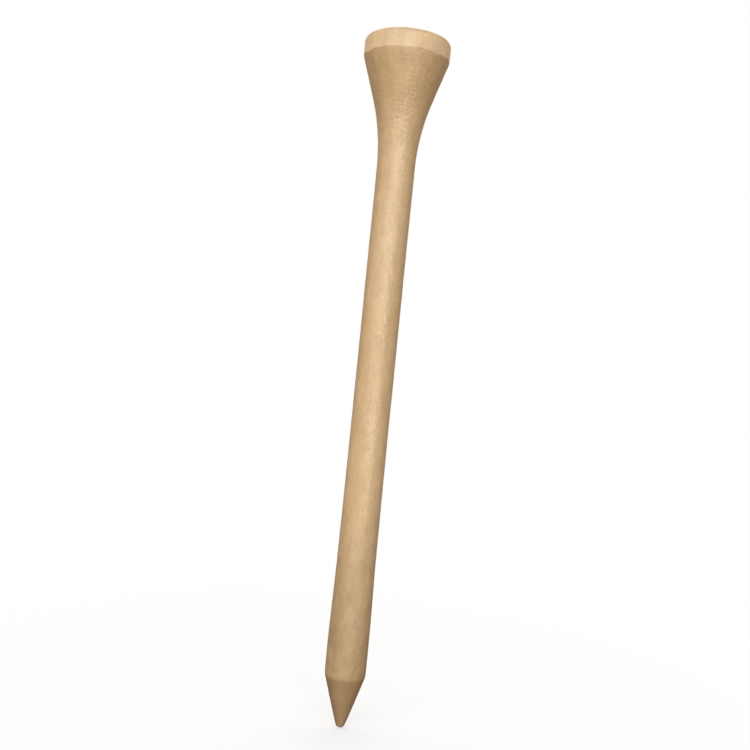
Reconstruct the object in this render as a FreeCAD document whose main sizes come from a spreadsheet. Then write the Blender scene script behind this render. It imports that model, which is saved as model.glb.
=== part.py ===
import FreeCAD, Part

import math
import os

import Sketcher

# Wooden golf tee, 83 mm (3 1/4 in) long, turned in one piece from a hardwood dowel.
# +Z runs up the turning axis from the driving point to the cup that holds the ball.
# The origin is the very end of the point.  All sizes are in millimetres.

Vector = FreeCAD.Vector
Constraint = Sketcher.Constraint

# Sketcher's codes: points of an edge, then the sketch's own origin and vertical axis
START, END, CENTRE = 1, 2, 3
ORIGIN, VERTICAL_AXIS = -1, -2

EDGE_MATCH_TOLERANCE = 1e-3
END_HEIGHT_TOLERANCE = 1e-4

# ---------------------------------------------------------------------------
# Driving dimensions
# ---------------------------------------------------------------------------
# alias, value or formula, meaning
DIMENSIONS = [
    ("overall_length", 83.0, "end of the point to the rim"),
    ("tip_radius", 0.64, "rounding of the blunt end of the point"),
    ("shoulder_height", 6.5, "where the point's cone meets the shank"),
    ("shoulder_round", 2.2, "softening of that edge, left by sanding"),
    ("shank_radius", 2.50, "parallel land above the shoulder, the thickest part of the shank"),
    ("land_top", 11.0, "top of the parallel land"),
    ("neck_radius", 2.275, "slim upper shank"),
    ("waist_radius", 2.35, "shank where the taper eases off"),
    ("waist_height", 20.5, "height at which it does"),
    ("neck_low", 36.0, "height at which the slow taper has come down to the neck"),
    ("neck_high", 67.9, "height at which the flare starts"),
    ("flare_radius", 26.0, "hollow curve between the neck and the straight part of the flare"),
    ("lip_radius", 5.10, "lower edge of the lip band, where the flare ends"),
    ("lip_height", 2.30, "height of the lip band"),
    ("lip_base", "=overall_length - lip_height", "height of the lip's lower edge"),
    ("lip_top_radius", 5.13, "lip band at the rim, before its edge is rounded"),
    ("lip_edge_round", 0.55, "softening of the lip's lower edge"),
    ("rim_round", 0.62, "rounding of the rim's outer edge"),
    ("cup_radius", 4.10, "mouth of the cup"),
    ("cup_depth", 1.70, "depth of the cup below the rim"),
    ("cup_floor", "=overall_length - cup_depth", "height of the bottom of the cup"),
    ("cup_overrun", 1.0, "how far the cup's cutting profile rises above the rim"),
    ("cup_edge_round", 0.16, "softening of the cup's mouth, where the ball sits"),
]

doc = FreeCAD.newDocument("wooden_golf_tee")
sheet = doc.addObject("Spreadsheet::Sheet", "dimensions")
for row, (alias, content, meaning) in enumerate(DIMENSIONS, start=1):
    sheet.set("A%d" % row, alias)
    sheet.set("B%d" % row, str(content))
    sheet.setAlias("B%d" % row, alias)
    sheet.set("C%d" % row, meaning)
doc.recompute()
size = {alias: float(sheet.get(alias)) for alias, _, _ in DIMENSIONS}


# ---------------------------------------------------------------------------
# Sketch helpers: on the XZ plane, sketch x is radius and sketch y is height
# ---------------------------------------------------------------------------
def new_sketch(body, name):
    """A sketch on the body's XZ plane."""
    plane = [f for f in body.Origin.OriginFeatures if f.Role == "XZ_Plane"][0]
    sketch = body.newObject("Sketcher::SketchObject", name)
    sketch.AttachmentSupport = [(plane, "")]
    sketch.MapMode = "FlatFace"
    return sketch


def add_line(sketch, start, end):
    """A line between two (radius, height) points."""
    return sketch.addGeometry(Part.LineSegment(Vector(*start, 0), Vector(*end, 0)), False)


def add_arc(sketch, centre, radius, start_angle, end_angle):
    """An anticlockwise arc about a (radius, height) centre."""
    circle = Part.Circle(Vector(*centre, 0), Vector(0, 0, 1), radius)
    return sketch.addGeometry(Part.ArcOfCircle(circle, start_angle, end_angle), False)


def add_dimensions(sketch, rows):
    """Named driving dimensions, each bound to its alias on the sheet."""
    for kind, elements, name, alias in rows:
        index = sketch.addConstraint(Constraint(kind, *elements, size[alias]))
        sketch.renameConstraint(index, name)
        sketch.setExpression("Constraints." + name, "dimensions." + alias)


def radius_and_height(edge, point, radius_name, radius_alias, height_name, height_alias):
    """Two dimension rows that place a point of an edge from the origin."""
    elements = (ORIGIN, START, edge, point)
    return [
        ("DistanceX", elements, radius_name, radius_alias),
        ("DistanceY", elements, height_name, height_alias),
    ]


# ---------------------------------------------------------------------------
# Turning profile: half of the long section, drawn from the tip upwards
# ---------------------------------------------------------------------------
def draw_turning_profile(body):
    tip_radius = size["tip_radius"]
    neck_radius, flare_radius = size["neck_radius"], size["flare_radius"]
    shoulder = (size["shank_radius"], size["shoulder_height"])
    land_end = (size["shank_radius"], size["land_top"])
    waist = (size["waist_radius"], size["waist_height"])
    neck_start = (neck_radius, size["neck_low"])
    neck_end = (neck_radius, size["neck_high"])
    flare_centre = (neck_radius + flare_radius, size["neck_high"])
    lip_lower = (size["lip_radius"], size["lip_base"])
    lip_upper = (size["lip_top_radius"], size["overall_length"])
    rim_centre = (0, size["overall_length"])

    # Starting guesses for two slopes from the axis: the tangencies set them exactly
    point_lean = math.atan2(shoulder[0] - tip_radius, shoulder[1])
    flare_lean = math.radians(18.0)
    cone_start = (
        tip_radius * math.cos(point_lean),
        tip_radius - tip_radius * math.sin(point_lean),
    )
    hollow_end = (
        neck_radius + flare_radius * (1 - math.cos(flare_lean)),
        size["neck_high"] + flare_radius * math.sin(flare_lean),
    )

    sketch = new_sketch(body, "turning_profile")
    tip = add_arc(sketch, (0, tip_radius), tip_radius, -math.pi / 2, -point_lean)
    cone = add_line(sketch, cone_start, shoulder)
    land = add_line(sketch, shoulder, land_end)
    # slow taper in two steps, land to waist and waist to neck
    taper = add_line(sketch, land_end, waist)
    ease = add_line(sketch, waist, neck_start)
    neck = add_line(sketch, neck_start, neck_end)
    # flare: a hollow arc off the neck, then a straight cone to the lip's lower edge
    hollow = add_arc(sketch, flare_centre, flare_radius, math.pi - flare_lean, math.pi)
    flare = add_line(sketch, hollow_end, lip_lower)
    lip = add_line(sketch, lip_lower, lip_upper)
    rim = add_line(sketch, lip_upper, rim_centre)
    axis = add_line(sketch, rim_centre, (0, 0))

    sketch.addConstraint([
        Constraint("Coincident", tip, START, ORIGIN, START),
        Constraint("PointOnObject", tip, CENTRE, VERTICAL_AXIS),
        Constraint("Tangent", tip, END, cone, START),
        Constraint("Coincident", cone, END, land, START),
        Constraint("Vertical", land),
        Constraint("Coincident", land, END, taper, START),
        Constraint("Coincident", taper, END, ease, START),
        Constraint("Coincident", ease, END, neck, START),
        Constraint("Vertical", neck),
        Constraint("Tangent", neck, END, hollow, END),
        Constraint("Tangent", hollow, START, flare, START),
        Constraint("Coincident", flare, END, lip, START),
        Constraint("Coincident", lip, END, rim, START),
        Constraint("Horizontal", rim),
        Constraint("PointOnObject", rim, END, VERTICAL_AXIS),
        Constraint("Coincident", rim, END, axis, START),
        Constraint("Coincident", axis, END, ORIGIN, START),
    ])
    add_dimensions(sketch, [
        ("Radius", (tip,), "tip_r", "tip_radius"),
        *radius_and_height(cone, END, "shank_r", "shank_radius", "shoulder_z", "shoulder_height"),
        ("DistanceY", (ORIGIN, START, land, END), "land_z", "land_top"),
        *radius_and_height(ease, START, "waist_r", "waist_radius", "waist_z", "waist_height"),
        *radius_and_height(neck, START, "neck_r", "neck_radius", "neck_low_z", "neck_low"),
        ("DistanceY", (ORIGIN, START, neck, END), "neck_high_z", "neck_high"),
        ("Radius", (hollow,), "flare_r", "flare_radius"),
        *radius_and_height(lip, START, "lip_r", "lip_radius", "lip_z", "lip_base"),
        *radius_and_height(lip, END, "lip_top_r", "lip_top_radius", "top_z", "overall_length"),
    ])
    doc.recompute()
    return sketch


# ---------------------------------------------------------------------------
# Cup profile: half of a shallow spherical dish, open above the rim
# ---------------------------------------------------------------------------
def draw_cup_profile(body):
    mouth_radius, depth = size["cup_radius"], size["cup_depth"]
    sphere_radius = (mouth_radius**2 + depth**2) / (2 * depth)
    half_angle = math.asin(mouth_radius / sphere_radius)
    rim_height = size["overall_length"]
    lid_height = rim_height + size["cup_overrun"]
    floor_height = size["cup_floor"]

    sketch = new_sketch(body, "cup_profile")
    dish = add_arc(
        sketch, (0, floor_height + sphere_radius), sphere_radius,
        -math.pi / 2, -math.pi / 2 + half_angle,
    )
    side = add_line(sketch, (mouth_radius, rim_height), (mouth_radius, lid_height))
    lid = add_line(sketch, (mouth_radius, lid_height), (0, lid_height))
    axis = add_line(sketch, (0, lid_height), (0, floor_height))

    sketch.addConstraint([
        Constraint("PointOnObject", dish, START, VERTICAL_AXIS),
        Constraint("PointOnObject", dish, CENTRE, VERTICAL_AXIS),
        Constraint("Coincident", dish, END, side, START),
        Constraint("Vertical", side),
        Constraint("Coincident", side, END, lid, START),
        Constraint("Horizontal", lid),
        Constraint("PointOnObject", lid, END, VERTICAL_AXIS),
        Constraint("Coincident", lid, END, axis, START),
        Constraint("Coincident", axis, END, dish, START),
    ])
    add_dimensions(sketch, [
        *radius_and_height(side, START, "mouth_r", "cup_radius", "mouth_z", "overall_length"),
        ("DistanceY", (ORIGIN, START, dish, START), "floor_z", "cup_floor"),
        ("DistanceY", (side, START, side, END), "over_z", "cup_overrun"),
    ])
    doc.recompute()
    return sketch


# ---------------------------------------------------------------------------
# Solid features
# ---------------------------------------------------------------------------
def turn(body, kind, name, sketch):
    """A full turn of the sketch about the tee's axis, adding or cutting by its kind."""
    feature = body.newObject(kind, name)
    feature.Profile = sketch
    feature.ReferenceAxis = (sketch, ["V_Axis"])
    feature.Angle = 360.0
    doc.recompute()
    return feature


def circle_edge(feature, radius, height):
    """Name of the one circular edge with this radius and height."""
    found = []
    for number, edge in enumerate(feature.Shape.Edges, start=1):
        if edge.Degenerated or not isinstance(edge.Curve, Part.Circle):
            continue
        radius_error = abs(edge.Curve.Radius - radius)
        height_error = abs(edge.Curve.Center.z - height)
        if max(radius_error, height_error) < EDGE_MATCH_TOLERANCE:
            found.append("Edge%d" % number)
    if len(found) != 1:
        raise RuntimeError("expected one edge at r=%g z=%g, found %r" % (radius, height, found))
    return found[0]


def soften(body, base, name, radius_alias, height_alias, round_alias):
    """Round one circular edge of the tee."""
    fillet = body.newObject("PartDesign::Fillet", name)
    fillet.Base = (base, [circle_edge(base, size[radius_alias], size[height_alias])])
    fillet.Radius = size[round_alias]
    fillet.setExpression("Radius", "dimensions." + round_alias)
    doc.recompute()
    if not fillet.Shape.isValid() or fillet.Shape.Volume >= base.Shape.Volume:
        raise RuntimeError(name + " removed nothing")
    return fillet


# feature name, then the aliases of the edge's radius, its height and its rounding
ROUNDS = [
    ("rim_outer_round", "lip_top_radius", "overall_length", "rim_round"),
    ("cup_mouth_round", "cup_radius", "overall_length", "cup_edge_round"),
    ("lip_lower_round", "lip_radius", "lip_base", "lip_edge_round"),
    ("shoulder_round", "shank_radius", "shoulder_height", "shoulder_round"),
]

# ---------------------------------------------------------------------------
# tee: one turned solid
# ---------------------------------------------------------------------------
tee = doc.addObject("PartDesign::Body", "tee")
tee.Label = "tee"
turning_profile = draw_turning_profile(tee)
turn(tee, "PartDesign::Revolution", "turned_blank", turning_profile)
cup_profile = draw_cup_profile(tee)
feature = turn(tee, "PartDesign::Groove", "cup", cup_profile)
for round_row in ROUNDS:
    feature = soften(tee, feature, *round_row)
tee.Tip = feature
doc.recompute()

# ---------------------------------------------------------------------------
# Checks, then export
# ---------------------------------------------------------------------------
for item in doc.Objects:
    bad_states = [state for state in item.State if state in ("Invalid", "Error")]
    if bad_states:
        raise RuntimeError("%s is %s" % (item.Name, bad_states))
for sketch in (turning_profile, cup_profile):
    if sketch.solve() != 0 or not sketch.FullyConstrained:
        raise RuntimeError(sketch.Name + " is not fully constrained")

if tee.Shape.isNull() or not tee.Shape.isValid() or len(tee.Shape.Solids) != 1:
    raise RuntimeError(tee.Label + " is not one valid solid")
box = tee.Shape.optimalBoundingBox()
if max(abs(box.ZMin), abs(box.ZMax - size["overall_length"])) > END_HEIGHT_TOLERANCE:
    raise RuntimeError("the tee runs from %.4f to %.4f" % (box.ZMin, box.ZMax))

os.makedirs("parts", exist_ok=True)
tee.Shape.exportStep("parts/%s.step" % tee.Label)
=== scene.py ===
# Turned golf tee in lacquered birch, standing on its point at the origin with its axis along +Z
# and its cup at the top. The front is -Y. The tee and its wood are described in millimetres and
# the mesh is written in metres; the stage, lights and camera are in metres.

import math
from functools import reduce
from types import SimpleNamespace

import bmesh
import bpy
import numpy as np
from mathutils import Matrix, Vector


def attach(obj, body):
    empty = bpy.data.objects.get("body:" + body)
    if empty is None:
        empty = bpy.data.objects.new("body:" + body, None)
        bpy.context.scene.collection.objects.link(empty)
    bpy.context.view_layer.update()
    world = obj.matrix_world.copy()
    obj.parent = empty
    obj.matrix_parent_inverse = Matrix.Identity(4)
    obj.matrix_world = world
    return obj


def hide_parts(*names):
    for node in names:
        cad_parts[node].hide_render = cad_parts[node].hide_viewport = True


MM = 1000.0  # millimetres in a metre

# Turning profile: radii and heights
TOP = 83.0
TIP_R = 0.64
SHOULDER_R, SHOULDER_Z, SHOULDER_ROUND = 2.50, 6.5, 2.2
LAND_TOP = 11.0
WAIST_R, WAIST_Z = 2.35, 20.5
NECK_R, NECK_LOW, NECK_HIGH = 2.275, 36.0, 67.9
FLARE_R = 26.0  # radius of the flare's hollow arc
LIP_R, LIP_Z, LIP_TOP_R = 5.10, 80.7, 5.13
LIP_EDGE_ROUND, RIM_ROUND = 0.55, 0.62
CUP_R, CUP_DEPTH, CUP_EDGE_ROUND = 4.10, 1.70, 0.16
LIP_CORNER, RIM_CORNER = (LIP_R, LIP_Z), (LIP_TOP_R, TOP)

SEGMENTS = 128  # round the tee
PROFILE_TOLERANCE = 0.05  # between the CAD's vertices and the profile


def add_object(name, data):
    ob = bpy.data.objects.new(name, data)
    bpy.context.scene.collection.objects.link(ob)
    return ob


def bell(offset, width):
    return np.exp(-0.5 * (offset / width) ** 2)


# ---------------------------------------------------------------------------
# Profile: points (radius, height) from the tip up the outside and down into the cup
# ---------------------------------------------------------------------------
def corner_arc(before, corner, after, radius, steps):
    """Points of the arc of this radius that rounds a corner."""
    before, corner, after = (np.array(p, float) for p in (before, corner, after))
    u = (before - corner) / np.linalg.norm(before - corner)
    v = (after - corner) / np.linalg.norm(after - corner)
    half = math.acos(np.clip(u @ v, -1, 1)) / 2
    tangent = radius / math.tan(half)
    centre = corner + (u + v) / np.linalg.norm(u + v) * radius / math.sin(half)
    p, q = corner + u * tangent - centre, corner + v * tangent - centre
    turn = math.atan2(p[0] * q[1] - p[1] * q[0], p @ q)
    points = []
    for k in range(steps + 1):
        c, s = math.cos(turn * k / steps), math.sin(turn * k / steps)
        points.append(centre + np.array([p[0] * c - p[1] * s, p[0] * s + p[1] * c]))
    return points


def tip():
    """A blunt end: a sphere tangent to the cone of the point."""
    rise = SHOULDER_Z - TIP_R
    cone = math.atan2(SHOULDER_R, rise) - math.asin(TIP_R / math.hypot(SHOULDER_R, rise))
    return [
        (TIP_R * math.sin(t), TIP_R - TIP_R * math.cos(t))
        for t in np.linspace(0, math.pi / 2 - cone, 24)
    ]


def shank(start):
    """Straight tapers, their changes of slope smoothed over a few millimetres."""
    reach, softness = 60, 22.0  # the smoothing kernel's half width and spread, in samples
    z = np.linspace(start, NECK_HIGH, 1200)
    r = np.interp(z, [LAND_TOP, WAIST_Z, NECK_LOW], [SHOULDER_R, WAIST_R, NECK_R])
    kernel = bell(np.arange(-reach, reach + 1), softness)
    kernel /= kernel.sum()
    padded = np.r_[np.full(reach, r[0]), r, np.full(reach, r[-1])]
    return list(zip(np.convolve(padded, kernel, "valid"), z))


def flare():
    """A hollow arc tangent to the neck, ending where it heads straight for the lip."""
    run, rise = LIP_Z - NECK_HIGH, NECK_R + FLARE_R - LIP_R
    end = math.atan2(run, rise) - math.acos(FLARE_R / math.hypot(run, rise))
    return [
        (NECK_R + FLARE_R * (1 - math.cos(t)), NECK_HIGH + FLARE_R * math.sin(t))
        for t in np.linspace(0, end, 70)
    ]


def dish():
    """The cup, a shallow part of a sphere, from its mouth to its middle."""
    radius = (CUP_R**2 + CUP_DEPTH**2) / (2 * CUP_DEPTH)
    return [
        (radius * math.sin(t), TOP - CUP_DEPTH + radius - radius * math.cos(t))
        for t in np.linspace(math.asin(CUP_R / radius), 0, 60)
    ]


def turning_profile():
    points = tip()
    shoulder = (SHOULDER_R, SHOULDER_Z)
    points += corner_arc(points[-1], shoulder, (SHOULDER_R, LAND_TOP), SHOULDER_ROUND, steps=12)
    points += shank(points[-1][1] + 0.2)
    points += flare()[1:]
    points += corner_arc(points[-1], LIP_CORNER, RIM_CORNER, LIP_EDGE_ROUND, steps=10)
    points += corner_arc(LIP_CORNER, RIM_CORNER, (0, TOP), RIM_ROUND, steps=16)
    cup = dish()
    points += corner_arc(RIM_CORNER, cup[0], cup[1], CUP_EDGE_ROUND, steps=8)
    points += cup[4:]  # the rounded mouth takes the place of the first few
    points = np.array([(float(r), float(z)) for r, z in points])
    step = np.linalg.norm(np.diff(points, axis=0), axis=1)
    return points[np.r_[True, step > 1e-6]]


def resample(profile):
    """Rings along the profile, closer together at its edges, and each ring's arc length."""
    length = np.r_[0, np.cumsum(np.linalg.norm(np.diff(profile, axis=0), axis=1))]
    fine = np.linspace(0, length[-1], 20000)
    r, z = np.interp(fine, length, profile[:, 0]), np.interp(fine, length, profile[:, 1])
    outside = fine < length[np.argmax(profile[:, 1] >= TOP - 1e-9)]

    pitch = np.where(outside & (z > 66), 0.115, 0.135)
    for where, offset, width, closest in (
        (outside, z - 0.4, 0.6, 0.07),  # tip
        (outside, z - SHOULDER_Z, 0.8, 0.065),
        (outside, z - LIP_Z, 0.5, 0.045),
        (r > 3.9, z - TOP, 0.8, 0.055),  # rim
        (~outside, r - CUP_R, 0.3, 0.04),  # cup mouth
    ):
        near = np.where(where, bell(offset, width), 0)
        pitch = np.minimum(pitch, closest + (1 - near) * 0.3)

    count = np.r_[0, np.cumsum(0.5 * (1 / pitch[1:] + 1 / pitch[:-1]) * np.diff(fine))]
    wanted = np.linspace(0, count[-1], int(round(count[-1])) + 1)
    at = np.interp(wanted, count, fine)
    return np.c_[np.interp(at, length, profile[:, 0]), np.interp(at, length, profile[:, 1])], at


def require_cad_profile(profile, node):
    """Stop if a vertex of the CAD's tee lies off the profile."""
    cad = np.array([v.co for v in node.data.vertices], float) * MM
    start, side = profile[:-1], np.diff(profile, axis=0)
    for q in np.c_[np.hypot(cad[:, 0], cad[:, 1]), cad[:, 2]]:
        t = np.clip(((q - start) * side).sum(1) / (side * side).sum(1), 0, 1)
        gap = np.linalg.norm(start + side * t[:, None] - q, axis=1).min()
        if gap > PROFILE_TOLERANCE:
            raise RuntimeError("the visual profile has left the CAD's: %.3f mm" % gap)


# ---------------------------------------------------------------------------
# Relief: what turning, sanding and lacquering leave on the wood
# ---------------------------------------------------------------------------
def value_noise(u, v, cells, seed):
    """Smooth noise in -1..1: u in 0..1 wraps round the tee, v in 0..1 runs along it."""
    nu, nv = cells
    grid = np.random.RandomState(seed).rand(nv + 3, nu) * 2 - 1
    x, y = u * nu, v * nv
    i, j = np.floor(x).astype(int), np.floor(y).astype(int)
    fx, fy = x - i, y - j
    fx, fy = fx**3 * (fx * (fx * 6 - 15) + 10), fy**3 * (fy * (fy * 6 - 15) + 10)
    i0, i1, j = i % nu, (i + 1) % nu, np.clip(j, 0, nv)
    low = grid[j, i0] * (1 - fx) + grid[j, i1] * fx
    high = grid[j + 1, i0] * (1 - fx) + grid[j + 1, i1] * fx
    return low * (1 - fy) + high * fy


def worn_surface(rings, at):
    """x, y, z of every ring but the first and last; rings run down the arrays."""
    tangent = np.gradient(rings, axis=0)
    tangent /= np.linalg.norm(tangent, axis=1)[:, None]
    # outwards, since the profile climbs the outside first
    out_r, out_z = tangent[1:-1, 1:], -tangent[1:-1, :1]
    r, z = rings[1:-1, :1], rings[1:-1, 1:]
    along = (at[1:-1] / at[-1])[:, None]
    around = (np.arange(SEGMENTS) / SEGMENTS)[None, :]
    first_top = int(np.argmax(rings[:, 1] >= TOP - 1e-6))
    outside = (np.arange(1, len(rings) - 1) <= first_top)[:, None]
    still = np.zeros((1, 1))

    def surface_noise(cells, seed):
        return value_noise(around, along, cells, seed)

    def ring_noise(cells, seed):
        return value_noise(still, along, (1, cells), seed)

    def edge_noise(cells, seed):
        return value_noise(around, still, (cells, 1), seed)

    relief = np.zeros((len(r), SEGMENTS))
    # turning: faint rings, stronger where the knife cut across the grain
    across = np.abs(out_z)
    knife = ring_noise(420, seed=11) + 0.5 * ring_noise(190, seed=12)
    relief += knife * (0.0018 + 0.0050 * across)
    # raised fibres, long and narrow, that run with the grain
    relief += 0.0028 * surface_noise((56, 30), seed=21) * (1 - 0.6 * across)
    # height, cells (around, along), seed
    for height, cells, seed in (
        (0.0022, (40, 9), 22),  # longer fibres
        (0.0055, (44, 300), 31),  # lacquer over open grain: small soft hummocks
        (0.0045, (30, 170), 32),
        (0.010, (5, 26), 41),  # sanding: slow waves
        (0.006, (9, 60), 42),
    ):
        relief += height * surface_noise(cells, seed)
    relief *= np.clip(r / 1.2, 0, 1)  # fades out towards the axis

    # the lip's lower edge: short torn fibres make it waver
    lip_edge = bell(z - LIP_Z, 0.28) * outside * (r > 4.6)
    waver = 0.060 * edge_noise(34, seed=51) + 0.060 * edge_noise(15, seed=52)
    # three small nicks in it: place round the tee and width, both in turns, and depth
    for place, width, depth in ((0.31, 0.012, 0.05), (0.865, 0.010, 0.045), (0.58, 0.016, 0.035)):
        aside = np.abs((around - place + 0.5) % 1 - 0.5)
        relief -= depth * bell(aside, width) * bell(z - LIP_Z - 0.1, 0.16) * outside
    # the rim and the shoulder, worn a little unevenly: zone, depth, cells around, seed
    for zone, depth, cells, seed in (
        (bell(z - TOP + 0.15, 0.25) * (r > 4.6), 0.022, 12, 61),
        (bell(z - SHOULDER_Z, 0.5) * outside, 0.020, 9, 71),
    ):
        relief -= zone * depth * (0.5 + 0.5 * edge_noise(cells, seed))
    # the end of the point: slightly bruised
    bruise = bell(z, 0.6) * outside
    relief += bruise * 0.035 * surface_noise((6, 700), seed=81) * np.clip(r / 0.45, 0, 1)

    angle = around * 2 * math.pi
    oval = 1 + 0.0028 * np.cos(2 * angle + 0.7)  # dried wood is very slightly oval
    worn_r = (r + relief * out_r) * oval
    worn_z = np.clip(z + relief * out_z + lip_edge * waver, 0.0, TOP)
    return worn_r * np.cos(angle), worn_r * np.sin(angle), worn_z


def turned_mesh(rings, at):
    x, y, z = worn_surface(rings, at)
    verts = [(0.0, 0.0, 0.0)]
    verts += list(zip(x.ravel() / MM, y.ravel() / MM, z.ravel() / MM))
    last = len(verts)
    verts.append((0.0, 0.0, float(rings[-1][1]) / MM))

    def vertex(i, j):
        return 1 + i * SEGMENTS + (j % SEGMENTS)

    top = len(x) - 1
    faces = [(0, vertex(0, j + 1), vertex(0, j)) for j in range(SEGMENTS)]
    for i in range(top):
        for j in range(SEGMENTS):
            faces.append((vertex(i, j), vertex(i, j + 1), vertex(i + 1, j + 1), vertex(i + 1, j)))
    faces += [(last, vertex(top, j), vertex(top, j + 1)) for j in range(SEGMENTS)]

    mesh = bpy.data.meshes.new("turned_tee")
    mesh.from_pydata(verts, [], faces)
    mesh.validate()
    mesh.polygons.foreach_set("use_smooth", [True] * len(mesh.polygons))
    mesh.update()
    return mesh


# ---------------------------------------------------------------------------
# Shader graphs
# ---------------------------------------------------------------------------
class Graph:
    """Short names for the node calls. An input takes a value or another node's socket."""

    def __init__(self, owner):
        owner.use_nodes = True
        self.tree = owner.node_tree
        self.tree.nodes.clear()

    def put(self, socket, value):
        if isinstance(value, bpy.types.NodeSocket):
            self.tree.links.new(value, socket)
        elif socket.type == "RGBA":
            socket.default_value = (*value, 1.0)
        else:
            socket.default_value = value

    def node(self, kind, inputs=None, **settings):
        n = self.tree.nodes.new(kind)
        for key, value in settings.items():
            setattr(n, key, value)
        for key, value in (inputs or {}).items():
            self.put(n.inputs[key], value)
        return n

    def math(self, operation, *values):
        return self.node("ShaderNodeMath", dict(enumerate(values)), operation=operation).outputs[0]

    def product(self, *values):
        return reduce(lambda a, b: self.math("MULTIPLY", a, b), values)

    def total(self, *values):
        return reduce(lambda a, b: self.math("ADD", a, b), values)

    def less(self, a, b):
        return self.math("SUBTRACT", a, b)

    def sway(self, value, noise, amount):
        """The value, moved up and down by noise centred on a half."""
        return self.total(value, self.product(self.less(noise, 0.5), amount))

    def vec(self, operation, a, b=None):
        inputs = {0: a}
        if b is not None:
            inputs[3 if operation == "SCALE" else 1] = b
        n = self.node("ShaderNodeVectorMath", inputs, operation=operation)
        return n.outputs["Value" if operation in ("LENGTH", "DOT_PRODUCT") else "Vector"]

    def parts(self, vector):
        return self.node("ShaderNodeSeparateXYZ", {0: vector}).outputs

    def cells(self, vector, size):
        """Millimetres scaled so that one texture cell has this size."""
        return self.vec("MULTIPLY", vector, tuple(1.0 / s for s in size))

    def noise(self, vector, size=None, detail=2.0, rough=0.5, output="Fac"):
        if size:
            vector = self.cells(vector, size)
        inputs = {"Vector": vector, "Scale": 1.0, "Detail": detail, "Roughness": rough}
        return self.node("ShaderNodeTexNoise", inputs).outputs[output]

    def voronoi(self, vector):
        """Distance to the nearest point, and that point's random numbers."""
        n = self.node("ShaderNodeTexVoronoi", {"Vector": vector, "Scale": 1.0})
        return n.outputs["Distance"], self.parts(n.outputs["Color"])

    def ramp(self, value, span=(0.0, 1.0), to=(0.0, 1.0), kind="LINEAR"):
        inputs = {"Value": value, "From Min": span[0], "From Max": span[1]}
        inputs.update({"To Min": to[0], "To Max": to[1]})
        return self.node("ShaderNodeMapRange", inputs, interpolation_type=kind).outputs[0]

    def ease(self, value, span, to=(0.0, 1.0)):
        return self.ramp(value, span, to, kind="SMOOTHSTEP")

    def blend(self, base, colour, amount, kind="MIX"):
        inputs = {0: amount, 6: base, 7: colour}
        return self.node("ShaderNodeMix", inputs, data_type="RGBA", blend_type=kind).outputs[2]

    def tint(self, base, colour, amount=1.0):
        return self.blend(base, colour, amount, kind="MULTIPLY")

    def shader(self, kind, **inputs):
        return self.node(kind, inputs).outputs[0]

    def mix_shader(self, amount, a, b):
        return self.node("ShaderNodeMixShader", {0: amount, 1: a, 2: b}).outputs[0]

    def camera_or_light(self, seen, lit):
        """What the camera sees, and what lights the scene."""
        path = self.node("ShaderNodeLightPath")
        return self.mix_shader(path.outputs["Is Camera Ray"], lit, seen)


# ---------------------------------------------------------------------------
# Lacquered birch: a solid texture, so that the figure follows every cut
# ---------------------------------------------------------------------------
UP = (0.0, 0.0, 1.0)
LEVEL = (1.0, 1.0, 0.0)  # drops a vector's height

# Wood colours
PALE, WARM, DEEP = (0.638, 0.459, 0.263), (0.596, 0.415, 0.224), (0.480, 0.305, 0.140)
PATCH = (0.600, 0.388, 0.199)
VESSEL, SMALL_VESSEL, FLECK = (0.36, 0.21, 0.10), (0.40, 0.25, 0.12), (0.76, 0.58, 0.37)
# the bare-point colour includes painted shade
END_GRAIN, BARE_POINT_AND_SHADE = (0.46, 0.318, 0.178), (0.298, 0.194, 0.095)
# painted glints: a pale colour added as highlight specks
PAINTED_GLINT = (0.138, 0.130, 0.118)
# Multipliers: dark and light ends of each variation, then single tints
FINE_RANGE = (0.96, 0.955, 0.95), (1.035, 1.04, 1.045)
MOTTLE_RANGE = (0.88, 0.87, 0.86), (1.10, 1.105, 1.11)
CLOUD_RANGE = (0.88, 0.865, 0.85), (1.11, 1.12, 1.13)
THIN_RANGE = (0.95, 0.945, 0.94), (1.05, 1.055, 1.06)
# the cup tint and the tint for the lower shank are painted shade; the across-grain tint is partly
# painted shade
CUP_SHADE_TINT, CROSS_GRAIN_AND_SHADE_TINT, LOW_SHADE_TINT = (0.80, 0.765, 0.71), (0.912, 0.885, 0.846), (0.745, 0.737, 0.722)
# the slant tint is painted shade
BAND_TINT, PAINTED_SLANT_SHADE_TINT = (1.0, 1.03, 1.09), (0.722, 0.732, 0.800)


def dashes(g, fibre, width, length, largest, seed):
    """Short marks along the fibres, of random size."""
    shift = (seed, seed * 1.7, seed * 0.3)
    distance, random = g.voronoi(g.vec("ADD", g.cells(fibre, (width, width, length)), shift))
    size = g.ramp(random["X"], span=(0.25, 1.0), to=(0.0, largest))
    return g.ease(g.math("DIVIDE", distance, g.math("MAXIMUM", size, 0.001)), (0.45, 1.0), (1.0, 0.0))


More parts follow.
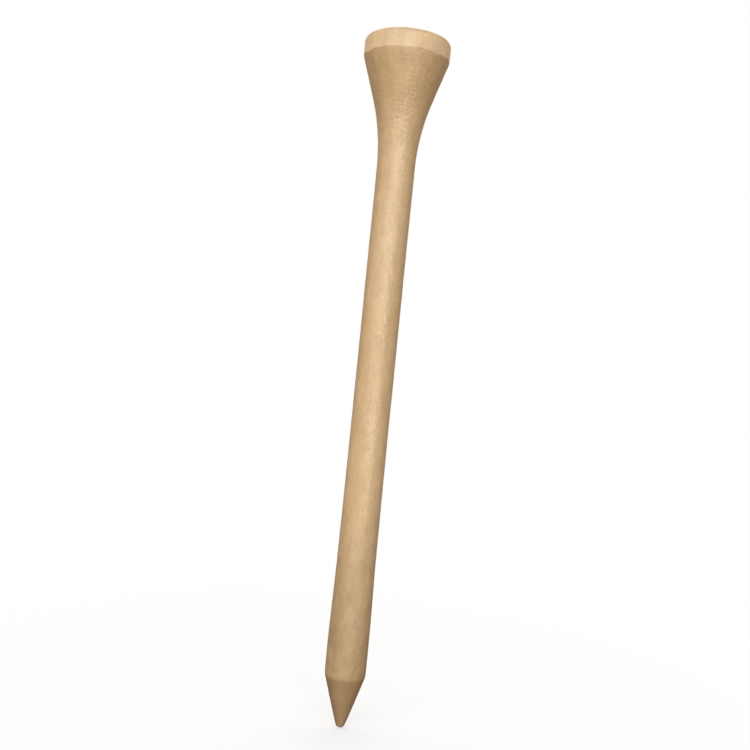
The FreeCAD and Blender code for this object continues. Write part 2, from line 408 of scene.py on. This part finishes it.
def wood_figure(g):
    """Position in the wood and the patterns of its grain."""
    w = SimpleNamespace()
    w.p = p = g.vec("SCALE", g.node("ShaderNodeTexCoord").outputs["Object"], MM)
    w.height = g.parts(p)["Z"]
    w.radius = g.vec("LENGTH", g.vec("MULTIPLY", p, LEVEL))

    # the grain runs almost, but not quite, along the tee
    rotation = {"Vector": p, "Rotation": (0.022, -0.030, 0.0)}
    lean = g.node("ShaderNodeVectorRotate", rotation, rotation_type="EULER_XYZ").outputs[0]
    wander = g.vec("SUBTRACT", g.noise(p, size=(6, 6, 26), output="Color"), (0.5, 0.5, 0.5))
    fibre = g.vec("ADD", lean, g.vec("MULTIPLY", wander, (1.1, 1.1, 0.0)))

    # growth rings: wide, faint, closing with a thin darker line
    pith_offset, ring_width = (31.0, -19.0, 0.0), 1.75
    rho = g.vec("LENGTH", g.vec("MULTIPLY", g.vec("ADD", fibre, pith_offset), LEVEL))
    drift = g.product(g.noise(p, size=(9, 9, 40), detail=1), 0.5)
    t = g.math("FRACT", g.total(g.product(rho, 1 / ring_width), drift))
    w.late = g.product(g.ease(t, (0.55, 0.93)), g.ease(t, (0.94, 1.0), to=(1.0, 0.0)))

    w.fine = g.noise(fibre, size=(0.11, 0.11, 2.6), detail=3, rough=0.6)
    w.streak = g.noise(fibre, size=(1.3, 1.3, 12))
    w.patch = g.noise(fibre, size=(2.6, 2.6, 14))
    w.mottle = g.noise(fibre, size=(0.50, 0.50, 0.75), rough=0.55)
    w.cloud = g.noise(fibre, size=(1.5, 1.5, 2.4))

    w.vessel = dashes(g, fibre, width=0.26, length=1.9, largest=0.34, seed=3.1)
    w.small = dashes(g, fibre, width=0.15, length=0.8, largest=0.36, seed=8.7)
    w.fleck = dashes(g, fibre, width=0.40, length=0.55, largest=0.42, seed=14.3)
    return w


def add_zones(g, w):
    """Masks for the parts of the tee, and how each face is turned to the eye."""
    geometry = g.node("ShaderNodeNewGeometry").outputs
    normal, eye = geometry["Normal"], geometry["Incoming"]

    def upwardness():
        return g.vec("DOT_PRODUCT", normal, UP)

    steep = g.math("ABSOLUTE", upwardness())
    w.upward = upwardness()
    w.endgrain = g.ease(steep, (0.72, 0.995))
    w.across = g.ease(steep, (0.08, 0.34))  # cut slightly across the fibres
    # the hollow of the cup, where painted shade is laid
    w.cup = g.product(
        g.ramp(w.height, (80.6, 80.9)),
        g.ease(w.radius, (3.95, 4.20), to=(1.0, 0.0)),
        g.ramp(upwardness(), (0.2, 0.5)),
    )
    # thin lacquer over the lowest third of the shank, which is also darkened there with painted
    # shade, and the bare point
    w.thin = g.ease(g.sway(w.height, w.patch, 8.0), (10.0, 32.5), to=(1.0, 0.0))
    w.point = g.ease(g.sway(w.height, w.mottle, 0.5), (6.25, 6.85), to=(1.0, 0.0))
    w.band = g.product(  # the side of the lip
        g.ramp(w.height, (80.0, 80.2)),
        g.ease(w.upward, (-0.30, -0.02)),
        g.less(1.0, w.endgrain),
    )

    # turned from the eye round the tee's axis: 1 facing it, 0 side on; and to which side
    eye_level = g.vec("NORMALIZE", g.vec("MULTIPLY", eye, LEVEL))
    out_level = g.vec("NORMALIZE", g.vec("MULTIPLY", normal, LEVEL))
    w.facing_level = g.vec("DOT_PRODUCT", eye_level, out_level)
    w.rightward = g.vec("DOT_PRODUCT", g.vec("CROSS_PRODUCT", eye_level, out_level), UP)
    # faces that lie nearly flat use the true angle instead
    facing = g.vec("DOT_PRODUCT", eye, normal)
    flat = g.ease(steep, (0.55, 0.85))
    facing = g.total(g.product(w.facing_level, g.less(1.0, flat)), g.product(facing, flat))
    w.aslant = g.less(1.0, g.math("MAXIMUM", facing, 0.0))


def grain_colour(g, w):
    def vary(base, noise, dark_light, amount=1.0):
        return g.tint(base, g.blend(*dark_light, noise), amount)

    def in_endgrain(mark, amounts):
        """A mark's strength, on the side grain and on the end grain."""
        return g.product(mark, g.ramp(w.endgrain, to=amounts))

    base = g.blend(PALE, WARM, g.ramp(w.streak, (0.30, 0.72)))
    base = g.blend(base, DEEP, in_endgrain(w.late, (0.10, 0.34)))
    base = g.blend(base, PATCH, g.ramp(w.patch, (0.50, 0.78), to=(0.0, 0.30)))
    base = vary(base, w.fine, FINE_RANGE)
    base = vary(base, w.mottle, MOTTLE_RANGE)
    base = vary(base, w.cloud, CLOUD_RANGE)
    base = g.blend(base, VESSEL, in_endgrain(w.vessel, (0.20, 0.55)))
    base = g.blend(base, SMALL_VESSEL, in_endgrain(w.small, (0.14, 0.50)))
    base = g.blend(base, FLECK, g.product(w.fleck, 0.12))

    # end grain drinks the lacquer and is darker; the hollow of the cup is darkened further with
    # painted shade
    base = g.blend(base, END_GRAIN, g.product(w.endgrain, 0.38))
    base = g.tint(base, CUP_SHADE_TINT, w.cup)
    # cross grain is darker, and this tint also paints shade on the down-turned flare and point
    base = g.tint(base, CROSS_GRAIN_AND_SHADE_TINT, w.across)
    # painted shade: the lower shank is darker towards the point
    base = g.tint(base, LOW_SHADE_TINT, w.thin)
    base = vary(base, g.ramp(w.cloud, (0.36, 0.64)), THIN_RANGE, amount=w.thin)
    # the driving point is bare wood, darkened further with painted shade for the downward-facing cone
    return g.blend(base, BARE_POINT_AND_SHADE, g.product(w.point, 0.60))


def paint_light_and_shade(g, w, base):
    """Painted light and shade in the colour: a paler lip band with a highlight stripe, shade at a
    slant, and glints.
    """
    # painted sheen and highlight: the lip band is made paler where it turns from the eye, with a
    # faint painted highlight stripe on the right
    painted_sheen_zone = g.product(w.band, g.ramp(w.upward, (0.10, 0.40), to=(1.0, 0.0)))
    painted_highlight_stripe = g.product(
        g.ease(w.rightward, (0.10, 0.36)), g.ease(w.rightward, (0.42, 0.62), to=(1.0, 0.0))
    )
    painted_sheen = g.ease(w.aslant, (0.05, 0.60), to=(0.045, 0.30))
    painted_sheen = g.total(painted_sheen, g.product(painted_highlight_stripe, 0.11))
    base = g.vec("SCALE", base, g.total(1.0, g.product(painted_sheen_zone, painted_sheen)))
    base = g.tint(base, BAND_TINT, w.band)
    # painted shade: faces seen at a slant are darkened, as if lit from the eye
    painted_slant_shade = g.product(
        g.ramp(w.aslant, (0.0, 0.60)), g.ramp(w.upward, (0.15, 0.60), to=(1.0, 0.2))
    )
    base = g.tint(base, PAINTED_SLANT_SHADE_TINT, painted_slant_shade)

    # painted glints: pale specks added to the colour, on faces turned to the eye and a little to its
    # right
    lit = g.total(g.product(w.rightward, 0.30), g.product(w.facing_level, 0.954))
    spots = g.noise(g.vec("ADD", w.p, (11.0, 5.0, 3.0)), size=(0.23, 0.23, 0.27), detail=1.0)
    groups = g.noise(w.p, size=(0.9, 0.9, 1.3), detail=1.0)
    painted_glint = g.product(
        g.ease(spots, (0.51, 0.70)),
        g.ramp(groups, (0.38, 0.62), to=(0.25, 1.0)),
        g.ease(lit, (0.76, 1.0), to=(0.10, 1.0)),
        g.less(1.0, g.math("MAXIMUM", w.thin, w.point)),
        g.total(0.48, g.product(w.across, 0.60)),
        g.ease(w.height, (73.5, 80.2), to=(1.0, 0.45)),
        g.ramp(w.upward, (0.10, 0.40), to=(1.0, 0.0)),
    )
    return g.vec("ADD", base, g.vec("SCALE", PAINTED_GLINT, painted_glint))


def fine_relief(g, w):
    """Bump height: relief too fine for the mesh."""
    grit = g.noise(w.p, size=(0.27, 0.27, 0.30), detail=1.5, rough=0.6)
    distance, random = g.voronoi(g.cells(w.p, (0.34, 0.34, 0.41)))
    nibs = g.product(
        g.ease(distance, (0.05, 0.42), to=(1.0, 0.0)), g.ramp(random["Y"], (0.2, 1.0))
    )
    # turning lines: level rings on the flare and the point, concentric ones in the cup
    rows = {
        "X": g.math("DIVIDE", w.height, 0.20),
        "Y": g.math("DIVIDE", w.radius, 0.26),
        "Z": g.product(w.patch, 0.8),
    }
    lines = g.noise(g.node("ShaderNodeCombineXYZ", rows).outputs[0], detail=1.0)
    line_depth = g.total(g.product(w.across, 0.45), g.product(w.endgrain, 1.3))
    height = g.total(
        g.product(w.fine, 0.15),
        g.product(grit, 0.75),
        g.product(nibs, 0.60),
        g.product(lines, line_depth),
    )
    height = g.less(height, g.product(w.vessel, 0.25))
    return g.less(height, g.product(w.small, 0.18))


def birch():
    mat = bpy.data.materials.new("lacquered_birch")
    g = Graph(mat)
    w = wood_figure(g)
    add_zones(g, w)
    relief = fine_relief(g, w)

    def bump(strength, distance):
        inputs = {"Strength": strength, "Distance": distance, "Height": relief}
        return g.node("ShaderNodeBump", inputs).outputs[0]

    rough = g.sway(0.47, w.fine, 0.22)
    rough = g.total(rough, g.product(w.endgrain, 0.12), g.product(w.point, 0.14))
    gloss = g.noise(g.vec("ADD", w.p, (7.0, 3.0, 5.0)), size=(0.26, 0.26, 0.36), detail=1.0)
    # a worn satin film loses its shine at a glancing view
    shine = g.ease(w.aslant, (0.06, 0.32), to=(1.0, 0.0))
    coat = g.product(
        g.less(1.0, w.point),
        g.ramp(gloss, (0.36, 0.64), to=(0.40, 1.0)),
        g.less(1.0, g.product(w.thin, 0.65)),
        g.ease(w.height, (72.5, 79.0), to=(1.0, 0.55)),  # the film is thinner near the head
        shine,
    )
    inputs = {
        "Base Color": paint_light_and_shade(g, w, grain_colour(g, w)),
        "Normal": bump(strength=0.80, distance=0.000042),
        "Roughness": rough,
        "IOR": 1.48,
        "Specular IOR Level": g.product(shine, 0.5),
        "Coat Weight": coat,
        "Coat Normal": bump(strength=1.0, distance=g.ramp(w.band, to=(0.000155, 0.000100))),
        "Coat Roughness": g.ramp(w.band, to=(0.15, 0.42)),
        "Coat IOR": 1.50,
    }
    wood = g.node("ShaderNodeBsdfPrincipled", inputs).outputs[0]
    g.node("ShaderNodeOutputMaterial", {"Surface": wood})
    return mat


# ---------------------------------------------------------------------------
# Stage, in metres: a wide pale floor that fades into a white surround
# ---------------------------------------------------------------------------
FLOOR_RADII = (0.03, 0.08, 0.2, 0.5, 1.2, 2.2)
FLOOR_SEGMENTS = 64
FLOOR_DROP = 0.00002  # the floor lies just under the tip

LIGHT_TARGET = Vector((0, 0, 0.045))
LIGHT_COLOUR = (1.0, 0.99, 0.975)
# name, azimuth (0 in front, positive to the right), elevation, distance, width, height, watts
SOFTBOXES = (
    ("key", -12, 32, 0.75, 1.06, 1.19, 7.95),
    ("strip", 20, 3, 0.80, 0.11, 0.28, 1.7),
    ("back", 180, 40, 0.80, 0.65, 0.65, 3.2),
    ("right", 136, 25, 0.80, 0.80, 0.80, 4.4),
    ("left", -122, 25, 0.80, 0.80, 0.80, 5.0),
    ("top", 0, 86, 0.80, 0.50, 0.50, 0.5),
)


def pale_floor():
    mat = bpy.data.materials.new("pale_floor")
    g = Graph(mat)
    from_tip = g.vec("LENGTH", g.node("ShaderNodeTexCoord").outputs["Object"])
    glow = g.math(
        "MAXIMUM",
        g.ease(from_tip, (0.0, 0.012), to=(0.52, 0.78)),
        g.ease(from_tip, (0.004, 0.09), to=(0.60, 1.0)),
    )
    matt = g.shader("ShaderNodeBsdfDiffuse", Color=(0.66, 0.66, 0.66))
    white = g.shader("ShaderNodeEmission", Color=(1, 1, 1), Strength=1.0)
    bounce = g.shader("ShaderNodeBsdfDiffuse", Color=(0.32, 0.28, 0.23))
    surface = g.camera_or_light(seen=g.mix_shader(glow, matt, white), lit=bounce)
    g.node("ShaderNodeOutputMaterial", {"Surface": surface})
    return mat


def stage_floor():
    bm = bmesh.new()
    centre = bm.verts.new((0, 0, 0))
    turns = [2 * math.pi * k / FLOOR_SEGMENTS for k in range(FLOOR_SEGMENTS)]
    rims = [
        [bm.verts.new((radius * math.cos(t), radius * math.sin(t), 0)) for t in turns]
        for radius in FLOOR_RADII
    ]
    for k in range(FLOOR_SEGMENTS):
        bm.faces.new((centre, rims[0][k], rims[0][(k + 1) % FLOOR_SEGMENTS]))
    for a, b in zip(rims, rims[1:]):
        for k in range(FLOOR_SEGMENTS):
            following = (k + 1) % FLOOR_SEGMENTS
            bm.faces.new((a[k], b[k], b[following], a[following]))
    mesh = bpy.data.meshes.new("floor")
    bm.to_mesh(mesh)
    bm.free()
    floor = add_object("floor", mesh)
    floor.location = (0, 0, -FLOOR_DROP)
    mesh.materials.append(pale_floor())


def surround():
    world = bpy.data.worlds.new("surround")
    bpy.context.scene.world = world
    g = Graph(world)
    seen = g.shader("ShaderNodeBackground", Color=(1, 1, 1), Strength=1.0)
    lit = g.shader("ShaderNodeBackground", Color=(1.0, 0.81, 0.65), Strength=0.18)
    g.node("ShaderNodeOutputWorld", {"Surface": g.camera_or_light(seen, lit)})


def softbox(name, azimuth, elevation, distance, width, height, power):
    """An area light aimed at the middle of the tee."""
    light = bpy.data.lights.new(name, "AREA")
    light.shape = "RECTANGLE"
    light.size, light.size_y = width, height
    light.energy = power
    light.color = LIGHT_COLOUR
    ob = add_object(name, light)
    a, e = math.radians(azimuth), math.radians(elevation)
    direction = Vector((math.sin(a) * math.cos(e), -math.cos(a) * math.cos(e), math.sin(e)))
    ob.location = LIGHT_TARGET + distance * direction
    ob.rotation_euler = (LIGHT_TARGET - ob.location).to_track_quat("-Z", "Y").to_euler()
    ob.visible_camera = False


def add_camera():
    """In front of the tee, looking slightly down, rolled so that the tee leans to the right."""
    data = bpy.data.cameras.new("camera")
    data.sensor_width = 36.0
    data.lens = 43.870
    data.clip_start = 0.005
    data.clip_end = 10.0
    camera = add_object("camera", data)
    right = Vector((0.995018, 0.0025926, 0.0996617)).normalized()
    forward = Vector((0.0, 0.9996618, -0.0260050)).normalized()
    up = right.cross(forward).normalized()
    right = forward.cross(up).normalized()
    turn = Matrix((right, up, -forward)).transposed().to_4x4()
    camera.matrix_world = Matrix.Translation((0.0, -0.1099490, 0.0458560)) @ turn
    bpy.context.scene.camera = camera


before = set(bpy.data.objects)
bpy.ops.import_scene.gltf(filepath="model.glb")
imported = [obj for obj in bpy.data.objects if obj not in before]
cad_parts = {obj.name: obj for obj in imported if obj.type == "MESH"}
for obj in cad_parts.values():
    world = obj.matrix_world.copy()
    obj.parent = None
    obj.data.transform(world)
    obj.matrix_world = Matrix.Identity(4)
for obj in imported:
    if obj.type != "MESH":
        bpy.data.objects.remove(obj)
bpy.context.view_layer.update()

profile = turning_profile()
require_cad_profile(profile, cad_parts["tee"])
tee = add_object("turned_tee", turned_mesh(*resample(profile)))
tee.data.materials.append(birch())
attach(tee, "root")
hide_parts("tee")

stage_floor()
surround()
for box in SOFTBOXES:
    softbox(*box)
add_camera()

view = bpy.context.scene.view_settings
view.view_transform = "Standard"
view.look = "None"
view.exposure = 0.0
view.gamma = 1.0
